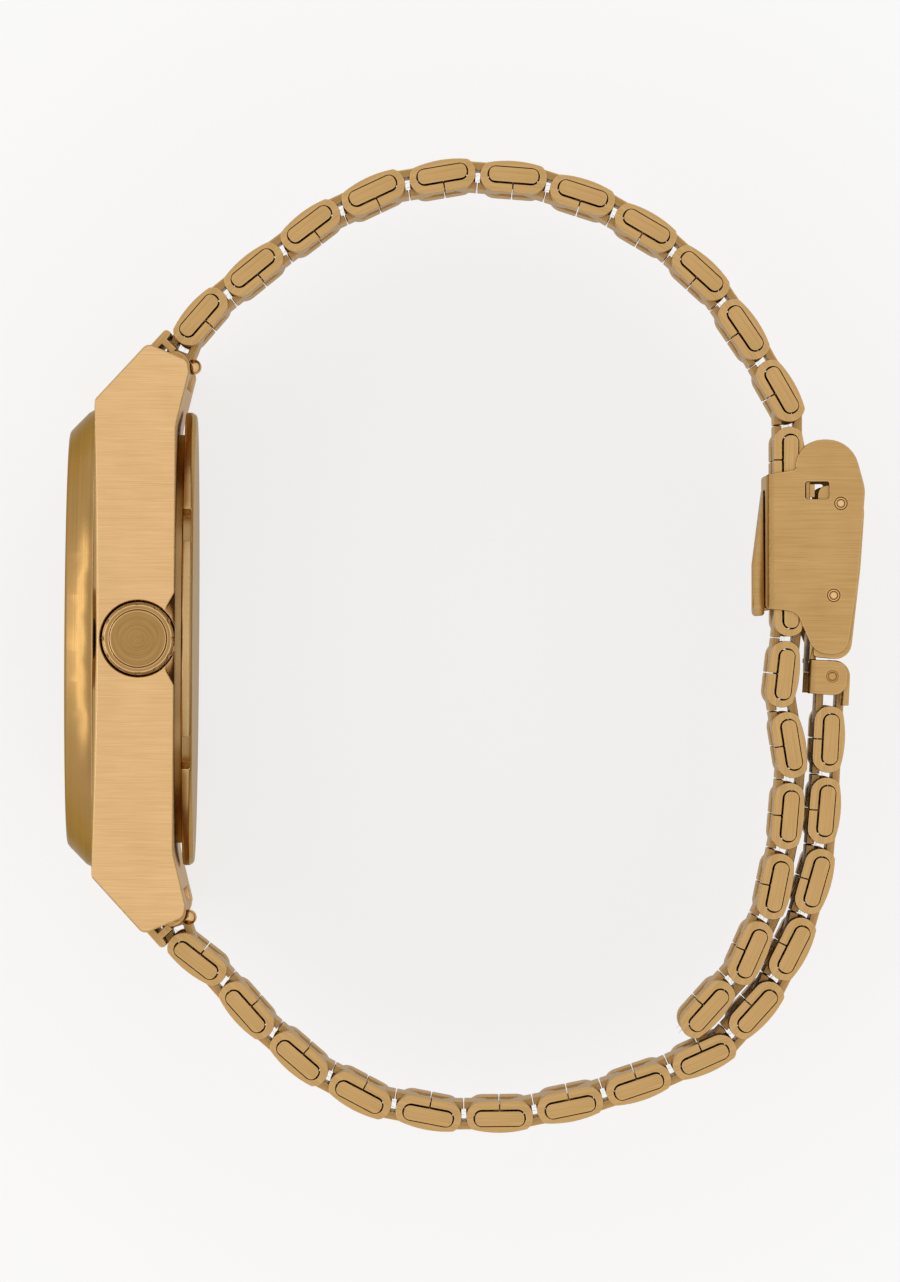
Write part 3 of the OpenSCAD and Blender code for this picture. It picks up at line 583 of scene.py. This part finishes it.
# Turned on the face, with rings that are easy to see, and the darkest gold
TURNED_CROWN = PlatedSteel(
    "turned_gold_plated_crown",
    colour="#B38E58",
    dark="#957140",
    relief=0.15,
    grain=Grain.TURNED_ABOUT_CROWN,
    line_mm=0.08,
    centre_mm=CROWN_CENTRE_MM,
)
# Folded strip with the lines of its rolling and brushing along each link
BRUSHED_LINK = PlatedSteel(
    "brushed_gold_plated_links", colour="#CDA76F", dark="#B48F58", frame_attribute=LINK_FRAME
)
# Stamped and folded sheet, brushed across after folding
BRUSHED_CLASP = PlatedSteel("brushed_gold_plated_clasp", colour="#C8A26A", dark="#B28C55")
# Brushed from the centre before coating
SUNRAY_DIAL = SunrayPlating("sunray_brushed_dial")
# Drawn bar and pressed cans, bare: grey with a satin shine
STEEL = PlainFinish("plain_steel", "#BDBBB4", "#A9A7A0", metallic=1.0, roughness=0.3)
# Moulded rubber: near black and dull
RUBBER = PlainFinish("nitrile_rubber", "#2B2A29", "#1F1E1D", roughness=0.7)
# Milled brass of the movement: yellow with a satin shine
BRASS = PlainFinish("brass_plate", "#C6A862", "#B39450", metallic=1.0, roughness=0.35)
# Moulded acetal: milky white, neither dull nor glossy
PLASTIC = PlainFinish("moulded_acetal", "#DAD8D0", "#CFCDC4", roughness=0.55)
# Pad-printed ink: dark brown, a little raised
PRINT = PlainFinish("printing_ink", "#3A2F22", "#2C241B", roughness=0.5)
CRYSTAL = MineralGlass("mineral_glass")


@dataclass
class FinishRack:
    """Builds each finish once and hands out its material."""

    built: dict[str, bpy.types.Material] = field(default_factory=dict)

    def material(self, finish: Finish) -> bpy.types.Material:
        """Gives the material of a finish.

        Args:
            finish: one of the finishes above.

        Returns:
            The material, built on its first use.
        """
        if finish.name not in self.built:
            self.built[finish.name] = finish.build()
        return self.built[finish.name]

    def dress(self, finish: Finish, *nodes: str) -> None:
        """Puts a finish on CAD nodes whose shape is right as it is.

        Args:
            finish: the finish.
            nodes: names of the CAD nodes.
        """
        for node in nodes:
            obj = frame["nodes"][node]
            obj.data.materials.clear()
            obj.data.materials.append(self.material(finish))
            LOG.info("finish %s on %s", finish.name, node)


def to_mesh(work: bmesh.types.BMesh, name: str) -> bpy.types.Mesh:
    """Turns finished working geometry into a mesh.

    Args:
        work: the working geometry, which is freed.
        name: the mesh's name.

    Returns:
        The new mesh.
    """
    mesh = bpy.data.meshes.new(name)
    work.to_mesh(mesh)
    work.free()
    return mesh


def shade(mesh: bpy.types.Mesh) -> None:
    """Shades a mesh smooth, apart from its sharp edges."""
    mesh.shade_smooth()
    mesh.set_sharp_from_angle(angle=math.radians(SMOOTH_DEG))


def add_object(mesh: bpy.types.Mesh) -> bpy.types.Object:
    """Puts a mesh into the scene, under its own name.

    Args:
        mesh: the mesh.

    Returns:
        The new object.
    """
    piece = bpy.data.objects.new(mesh.name, mesh)
    bpy.context.collection.objects.link(piece)
    return piece


@dataclass
class SoftEdges:
    """Rounds the sharp edges of a solid, as tumbling and plating leave them."""

    rack: FinishRack
    width_mm: float = 0.07
    segments: int = 3
    # Edges that turn by less than this are left as they are
    sharp_deg: float = 28.0
    # An edge that folds back by more than this is a fin, too thin to round
    fin_deg: float = 150.0
    # Faces that turn by less than this become one face
    flat_deg: float = 0.6
    weld_mm: float = 0.0005
    shortest_mm: float = 0.02

    def replace(
        self,
        node: str,
        finish: Finish,
        edge_finish: Finish | None = None,
        width_mm: float | None = None,
        reshape: Callable[[bmesh.types.BMesh], None] | None = None,
        facet_finish: Finish | None = None,
    ) -> bpy.types.Object:
        """Makes a soft-edged copy of a CAD node and lets it stand for the node.

        Args:
            node: the CAD node.
            finish: the finish of its faces.
            edge_finish: the finish of its rounded edges, where rubbing has polished them.
            width_mm: the width of the rounding, where it isn't the usual one.
            reshape: changes the copy before its edges are rounded.
            facet_finish: the finish of the faces that `reshape` puts on Layer.FACET.

        Returns:
            The new piece.
        """
        work = self._copy(node)
        if reshape:
            reshape(work)
        made = bmesh.ops.bevel(
            work,
            geom=self._sharp_edges(work),
            offset=(width_mm or self.width_mm) * MM,
            segments=self.segments,
            profile=0.5,
            affect="EDGES",
            clamp_overlap=False,
            material=-1,
        )
        if edge_finish:
            for face in made["faces"]:
                face.material_index = Layer.EDGE
        if finish.frame_attribute:
            self._own_frame(work, finish.frame_attribute)
        mesh = to_mesh(work, node + "_soft")
        shade(mesh)
        for used in (finish, edge_finish, facet_finish):
            if used:
                mesh.materials.append(self.rack.material(used))
        piece = add_object(mesh)
        weigh = piece.modifiers.new("even_shading", "WEIGHTED_NORMAL")
        weigh.keep_sharp = True
        weigh.weight = 100
        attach(piece, BODY_OF[node])
        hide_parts(node)
        LOG.info("soft edges on %s: %d faces", node, len(mesh.polygons))
        return piece

    def _copy(self, node: str) -> bmesh.types.BMesh:
        """Copies a CAD node's mesh, with its flat faces in one piece each.

        Args:
            node: the CAD node.

        Returns:
            The working geometry.
        """
        work = bmesh.new()
        work.from_mesh(frame["nodes"][node].data)
        bmesh.ops.remove_doubles(work, verts=work.verts, dist=self.weld_mm * MM)
        bmesh.ops.dissolve_limit(
            work,
            angle_limit=math.radians(self.flat_deg),
            use_dissolve_boundaries=False,
            verts=work.verts,
            edges=work.edges,
        )
        return work

    def _sharp_edges(self, work: bmesh.types.BMesh) -> list[bmesh.types.BMEdge]:
        """Finds the edges to round.

        Args:
            work: the working geometry.

        Returns:
            The sharp edges, without very short ones, fins and the borders of facets.
        """
        fins = {
            v
            for e in work.edges
            if e.calc_face_angle(0.0) > math.radians(self.fin_deg)
            for v in e.verts
        }
        return [
            e
            for e in work.edges
            if len(e.link_faces) == 2
            and not fins.intersection(e.verts)
            and e.calc_face_angle(0.0) > math.radians(self.sharp_deg)
            and e.calc_length() > self.shortest_mm * MM
            and all(f.material_index < Layer.FACET for f in e.link_faces)
        ]

    def _own_frame(self, work: bmesh.types.BMesh, name: str) -> None:
        """Writes each point's place along, across and up the piece's own length.

        The length is the long direction of the points seen from the crown's side, so the
        brushed lines follow each link wherever it stands.

        Args:
            work: the working geometry.
            name: the attribute's name.
        """
        layer = work.verts.layers.float_vector.new(name)
        middle = sum((v.co for v in work.verts), Vector()) / len(work.verts)
        xx = sum((v.co.x - middle.x) ** 2 for v in work.verts)
        yy = sum((v.co.y - middle.y) ** 2 for v in work.verts)
        xy = sum((v.co.x - middle.x) * (v.co.y - middle.y) for v in work.verts)
        turn = Matrix.Rotation(-0.5 * math.atan2(2 * xy, xx - yy), 3, "Z")
        for v in work.verts:
            v[layer] = turn @ (v.co - middle)


@dataclass
class Case:
    """Case middle, bezel, crystal, case back, crown and the release knobs."""

    soft: SoftEdges
    rack: FinishRack
    flank_edge_mm: float = 0.12
    crown_edge_mm: float = 0.05
    flank_z_mm: float = 38.0
    front_x_mm: float = -3.25
    # The finger slope starts at these corners beside the crown, and fans out from there
    slope_x_mm: float = 2.47
    slope_end_y_mm: float = 3.7
    slope_start_y_mm: float = 2.3
    # The front bevel is widest at the middle and narrows along an arc to both ends
    bevel_mm: float = 0.4
    bevel_sweep_mm: float = 500.0
    bevel_half_mm: float = 18.4
    bevel_steps: int = 48
    bevel_start_mm: float = 0.02
    long_edge_mm: float = 20.0

    def build(self) -> None:
        """Dresses the case."""
        self.soft.replace(
            "case_middle",
            BRUSHED_CASE,
            RUBBED_EDGE,
            self.flank_edge_mm,
            self._shape_middle,
            POLISHED_PLATING,
        )
        # The bezel's finish is painted darker all over: painted shade for the dark reflections
        # towards its ends
        self.soft.replace("bezel", TURNED_BEZEL_PAINTED_SHADE, POLISHED_PLATING)
        self.soft.replace("case_back", TURNED_BACK, RUBBED_EDGE)
        self.soft.replace("crown", TURNED_CROWN, POLISHED_PLATING, self.crown_edge_mm)
        self.soft.replace("crystal", CRYSTAL)
        for knob in ("upper_release_knob", "lower_release_knob"):
            self.soft.replace(knob, POLISHED_PLATING)
        self.rack.dress(RUBBER, "sealing_gaskets")
        self.rack.dress(STEEL, "winding_stem", "spring_bars")

    def _shape_middle(self, work: bmesh.types.BMesh) -> None:
        """Lets the finger slope fan out from the crown and bevels the front edges.

        Args:
            work: the case middle's working geometry.
        """
        moved = 0
        for v in work.verts:
            x, y, z = v.co / MM
            inner = near(x, self.slope_x_mm, 0.1) and near(z, self.flank_z_mm, 0.05)
            if inner and near(abs(y), self.slope_end_y_mm, 0.05):
                v.co.y = math.copysign(self.slope_start_y_mm, y) * MM
                moved += 1
        LOG.info("finger slope: %d corners moved", moved)
        for z_mm in (0.0, self.flank_z_mm):
            self._bevel_front_edge(work, z_mm)

    def _on_front_edge(self, v: bmesh.types.BMVert, z_mm: float) -> bool:
        """Tells whether a point lies where the flank at this height meets the front face."""
        return near(v.co.x / MM, self.front_x_mm) and near(v.co.z / MM, z_mm)

    def _bevel_front_edge(self, work: bmesh.types.BMesh, z_mm: float) -> None:
        """Cuts the polished bevel that widens from both ends of a flank to its middle.

        The long edge is divided and beveled by a hair. The bevel's points then move out,
        one row over the front face and one row over the flank.

        Args:
            work: the case middle's working geometry.
            z_mm: the height of the flank.
        """
        on_edge = [
            e
            for e in work.edges
            if e.calc_length() > self.long_edge_mm * MM
            and all(self._on_front_edge(v, z_mm) for v in e.verts)
        ]
        LOG.info("front edge at %.0f mm: %d long edges", z_mm, len(on_edge))
        if not on_edge:
            return
        bmesh.ops.subdivide_edges(work, edges=on_edge, cuts=self.bevel_steps)
        row = {v for v in work.verts if self._on_front_edge(v, z_mm)}
        made = bmesh.ops.bevel(
            work,
            geom=[e for e in work.edges if row.issuperset(e.verts)],
            offset=self.bevel_start_mm * MM,
            segments=1,
            profile=0.5,
            affect="EDGES",
            clamp_overlap=False,
            material=-1,
        )
        for face in made["faces"]:
            face.material_index = Layer.FACET
        inwards = 1 if z_mm < AXIS_Z_MM else -1
        for v in {v for f in made["faces"] for v in f.verts}:
            y = v.co.y / MM
            if abs(y) > self.bevel_half_mm:
                continue
            width = (self.bevel_mm - y * y / (2 * self.bevel_sweep_mm)) * MM
            if near(v.co.x / MM, self.front_x_mm, 0.001):
                v.co.z = z_mm * MM + inwards * width
            elif near(v.co.z / MM, z_mm, 0.001):
                v.co.x = self.front_x_mm * MM + width


@dataclass
class Dial:
    """Dial with its ring, markers, printed minute track and hands."""

    rack: FinishRack
    ticks: int = 60
    tick_l_mm: float = 0.8
    tick_w_mm: float = 0.18
    print_t_mm: float = 0.02
    # How far the track reaches outside the hour markers
    past_markers_mm: float = 0.35

    def build(self) -> None:
        """Dresses the dial and prints its minute track."""
        self.rack.dress(SUNRAY_DIAL, "dial")
        self.rack.dress(BRUSHED_CASE, "dial_ring")
        self.rack.dress(POLISHED_PLATING, "hour_markers", "hour_hand", "minute_hand", "second_hand")
        self._minute_track()

    def _minute_track(self) -> None:
        """Prints a short line for every minute at the edge of the dial."""
        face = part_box("dial")[0][0]
        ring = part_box("hour_markers")
        edge = (ring[1][1] - ring[0][1]) / 2 + self.past_markers_mm * MM
        shift = Matrix.Translation(
            (face - self.print_t_mm / 2 * MM, edge - self.tick_l_mm / 2 * MM, 0)
        )
        size = Matrix.Diagonal(
            (self.print_t_mm * MM, self.tick_l_mm * MM, self.tick_w_mm * MM, 1)
        )
        work = bmesh.new()
        for minute in range(self.ticks):
            turn = Matrix.Rotation(math.tau * minute / self.ticks, 4, "X")
            bmesh.ops.create_cube(work, size=1.0, matrix=turn @ shift @ size)
        bmesh.ops.translate(work, verts=work.verts, vec=(0, 0, AXIS_Z_MM * MM))
        mesh = to_mesh(work, "minute_track")
        mesh.materials.append(self.rack.material(PRINT))
        piece = add_object(mesh)
        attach(piece, "case")
        LOG.info("minute track: %d lines", self.ticks)


@dataclass
class Works:
    """Quartz movement, its holder, battery and pinion, behind the dial."""

    rack: FinishRack

    def build(self) -> None:
        """Dresses the inside of the case."""
        self.rack.dress(BRASS, "movement", "stem_pinion")
        self.rack.dress(PLASTIC, "movement_holder")
        self.rack.dress(STEEL, "battery")


@dataclass
class Bracelet:
    """Folded links of both halves and the two end links."""

    soft: SoftEdges
    edge_mm: float = 0.06

    def build(self) -> None:
        """Softens and dresses every link."""
        for node in SLOT_OF:
            if "_link" in node:
                self.soft.replace(node, BRUSHED_LINK, RUBBED_EDGE, self.edge_mm)


@dataclass
class Clasp:
    """Frame, lid, end bracket, lock flap and pins of the folding clasp.

    The flap's walls are drawn in the clasp's own frame, from which the two pins' places
    turn them into the shared frame.
    """

    soft: SoftEdges
    rack: FinishRack
    edge_mm: float = 0.08
    plate_edge_mm: float = 0.04
    wall_edge_mm: float = 0.05
    flap_pin_mm: tuple[float, float] = (-2.35, -6.35)
    lid_pin_mm: tuple[float, float] = (4.12, 2.25)
    # Distances of the walls and of the webs that join them to the flap, from the middle
    wall_mm: tuple[float, float] = (5.14, 5.44)
    web_mm: tuple[float, float] = (4.2, 5.25)
    wall_outline_mm: tuple[tuple[float, float], ...] = (
        (0.33, 9.6),
        (-0.43, 3.75),
        (-0.43, -0.1),
        (-0.36, -0.32),
        (-0.18, -0.44),
        (0.2, -0.42),
        (0.38, -0.3),
        (0.4, 0.5),
    )
    web_outline_mm: tuple[tuple[float, float], ...] = (
        (0.3, 9.3),
        (-0.36, 3.75),
        (-0.36, 1.05),
        (0.34, 1.05),
    )

    def build(self) -> None:
        """Softens and dresses the clasp."""
        for node in ("clasp_frame", "clasp_lid", "end_bracket", "lock_flap"):
            self.soft.replace(node, BRUSHED_CLASP, RUBBED_EDGE, self.edge_mm)
        self.soft.replace("clasp_pins", POLISHED_PLATING)
        self.soft.replace("friction_plate", BRUSHED_CLASP, RUBBED_EDGE, self.plate_edge_mm)
        self._flap_walls()

    def _flap_walls(self) -> None:
        """Adds the flap's folded side walls, which hide the ears and the pin's ends."""
        joints = {j["name"]: j for j in frame["record"]["behaviour"]["joints"]}
        pin = Vector(joints["lock_flap_hinge"]["pos_m"])
        lid = Vector(joints["lid_hinge"]["pos_m"])
        own_x, own_y = (a - b for a, b in zip(self.lid_pin_mm, self.flap_pin_mm))
        turn = math.atan2(lid.y - pin.y, lid.x - pin.x) - math.atan2(own_y, own_x)
        work = bmesh.new()
        for side in (-1, 1):
            self._plate(work, self.wall_outline_mm, side, self.wall_mm)
            self._plate(work, self.web_outline_mm, side, self.web_mm)
        bmesh.ops.bevel(
            work,
            geom=list(work.edges),
            offset=self.wall_edge_mm * MM,
            segments=2,
            profile=0.5,
            affect="EDGES",
            clamp_overlap=True,
            material=-1,
        )
        bmesh.ops.transform(
            work,
            verts=work.verts,
            matrix=Matrix.Translation(pin) @ Matrix.Rotation(turn, 4, "Z"),
        )
        mesh = to_mesh(work, "flap_walls")
        shade(mesh)
        mesh.materials.append(self.rack.material(BRUSHED_CLASP))
        piece = add_object(mesh)
        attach(piece, BODY_OF["lock_flap"])
        LOG.info("flap walls: %d faces", len(mesh.polygons))

    def _plate(
        self,
        work: bmesh.types.BMesh,
        outline_mm: tuple[tuple[float, float], ...],
        side: int,
        reach_mm: tuple[float, float],
    ) -> None:
        """Adds a flat plate across the pin's direction.

        Args:
            work: the working geometry to add to.
            outline_mm: corners about the flap's pin, counterclockwise from the crown's side.
            side: 1 towards the crown, -1 away from it.
            reach_mm: distances of its inner and outer face from the middle.
        """
        low, high = sorted(side * distance for distance in reach_mm)
        verts = [work.verts.new((x * MM, y * MM, low * MM)) for x, y in outline_mm]
        face = work.faces.new(verts)
        made = bmesh.ops.extrude_face_region(work, geom=[face])
        top = [v for v in made["geom"] if isinstance(v, bmesh.types.BMVert)]
        bmesh.ops.translate(work, verts=top, vec=(0, 0, (high - low) * MM))
        bmesh.ops.recalc_face_normals(work, faces=work.faces)


@dataclass(frozen=True)
class Softbox:
    """A rectangular soft lamp that points at the watch."""

    name: str
    place: tuple[float, float, float]
    size: tuple[float, float]
    watts: float
    aim: tuple[float, float, float] = (0.025, 0.0, 0.02)

    def hang(self) -> None:
        """Hangs the lamp."""
        data = bpy.data.lights.new(self.name, "AREA")
        data.shape = "RECTANGLE"
        data.size, data.size_y = self.size
        data.energy = self.watts
        lamp = bpy.data.objects.new(self.name, data)
        bpy.context.collection.objects.link(lamp)
        lamp.location = self.place
        towards = Vector(self.aim) - Vector(self.place)
        lamp.rotation_euler = towards.to_track_quat("-Z", "Y").to_euler()


@dataclass
class Studio:
    """Pale floor, pale surroundings and large soft lamps at a plain level."""

    floor_half: float = 3.0
    floor_drop_mm: float = 0.02
    floor_colour: str = "#FAF9F8"
    # How much of the floor's look is plain white where it is seen
    white_share: float = 0.72
    zenith: float = 0.98
    horizon: float = 0.72
    lamps: tuple[Softbox, ...] = (
        Softbox("left_softbox", (-0.7, 0.0, 0.1), (0.9, 0.18), 1.15),
        Softbox("overhead_softbox", (0.1, 0.0, 1.9), (0.8, 0.8), 0.2),
    )

    def build(self) -> None:
        """Builds the floor, the surroundings and the lamps."""
        self._floor()
        self._world()
        for lamp in self.lamps:
            lamp.hang()

    def _floor(self) -> None:
        """Lays the floor that the watch rests on, near white where it is seen."""
        bpy.ops.mesh.primitive_plane_add(
            size=2 * self.floor_half, location=(0, 0, -self.floor_drop_mm * MM)
        )
        floor = bpy.context.object
        floor.name = "floor"
        material, tree = new_material("matte_paper_floor")
        path = add_node(tree, "ShaderNodeLightPath")
        paper = add_node(tree, "ShaderNodeBsdfDiffuse", {"Color": linear(self.floor_colour)})
        white = add_node(tree, "ShaderNodeEmission", {"Color": linear("#FFFFFF"), "Strength": 1.0})
        shiny = add_node(
            tree,
            "ShaderNodeMath",
            {"operation": "MAXIMUM"},
            {0: path.outputs["Is Glossy Ray"], 1: path.outputs["Is Transmission Ray"]},
        )
        seen = add_node(
            tree,
            "ShaderNodeMath",
            {"operation": "MAXIMUM"},
            {0: path.outputs["Is Camera Ray"], 1: shiny.outputs["Value"]},
        )
        share = add_node(
            tree,
            "ShaderNodeMath",
            {"operation": "MULTIPLY", 1: self.white_share},
            {0: seen.outputs["Value"]},
        )
        mix = add_node(
            tree,
            "ShaderNodeMixShader",
            {},
            {0: share.outputs["Value"], 1: paper.outputs["BSDF"], 2: white.outputs["Emission"]},
        )
        add_node(tree, "ShaderNodeOutputMaterial", {}, {"Surface": mix.outputs["Shader"]})
        floor.data.materials.append(material)

    def _world(self) -> None:
        """Makes the surroundings a white dome that is dimmer towards the horizon."""
        world = bpy.data.worlds.new("studio")
        bpy.context.scene.world = world
        world.use_nodes = True
        tree = world.node_tree
        tree.nodes.clear()
        coords = add_node(tree, "ShaderNodeTexCoord")
        parts = add_node(tree, "ShaderNodeSeparateXYZ", {}, {"Vector": coords.outputs["Generated"]})
        level = add_node(
            tree,
            "ShaderNodeMapRange",
            {"From Min": 0.0, "From Max": 1.0, "To Min": self.horizon, "To Max": self.zenith},
            {"Value": parts.outputs["Z"]},
        )
        dome = add_node(
            tree,
            "ShaderNodeBackground",
            {"Color": linear("#FFFFFF")},
            {"Strength": level.outputs["Result"]},
        )
        add_node(tree, "ShaderNodeOutputWorld", {}, {"Surface": dome.outputs["Background"]})


@dataclass
class SideCamera:
    """Camera that looks straight at the crown side, as in the photograph."""

    focal_px: float = 16562.0
    image_w_px: float = 900.0
    distance: float = 1.363
    aim: tuple[float, float] = (0.02532, -0.00002)
    roll_deg: float = 0.4
    sensor_mm: float = 36.0
    clip: tuple[float, float] = (0.05, 20.0)

    def build(self) -> None:
        """Places the camera and makes it the scene's own."""
        data = bpy.data.cameras.new("photo_camera")
        data.sensor_fit = "HORIZONTAL"
        data.sensor_width = self.sensor_mm
        data.lens = self.focal_px / self.image_w_px * self.sensor_mm
        data.clip_start, data.clip_end = self.clip
        camera = bpy.data.objects.new("photo_camera", data)
        bpy.context.collection.objects.link(camera)
        camera.location = (self.aim[0], self.aim[1], self.distance)
        camera.rotation_euler = (0.0, 0.0, math.radians(self.roll_deg))
        bpy.context.scene.camera = camera


def main() -> None:
    """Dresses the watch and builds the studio."""
    logging.basicConfig(level=logging.INFO, format="%(name)s: %(message)s")
    bpy.context.scene.view_settings.view_transform = "Standard"
    SideCamera().build()
    Studio().build()
    rack = FinishRack()
    soft = SoftEdges(rack)
    Case(soft, rack).build()
    Dial(rack).build()
    Works(rack).build()
    Bracelet(soft).build()
    Clasp(soft, rack).build()


if __name__ == "__main__":
    main()
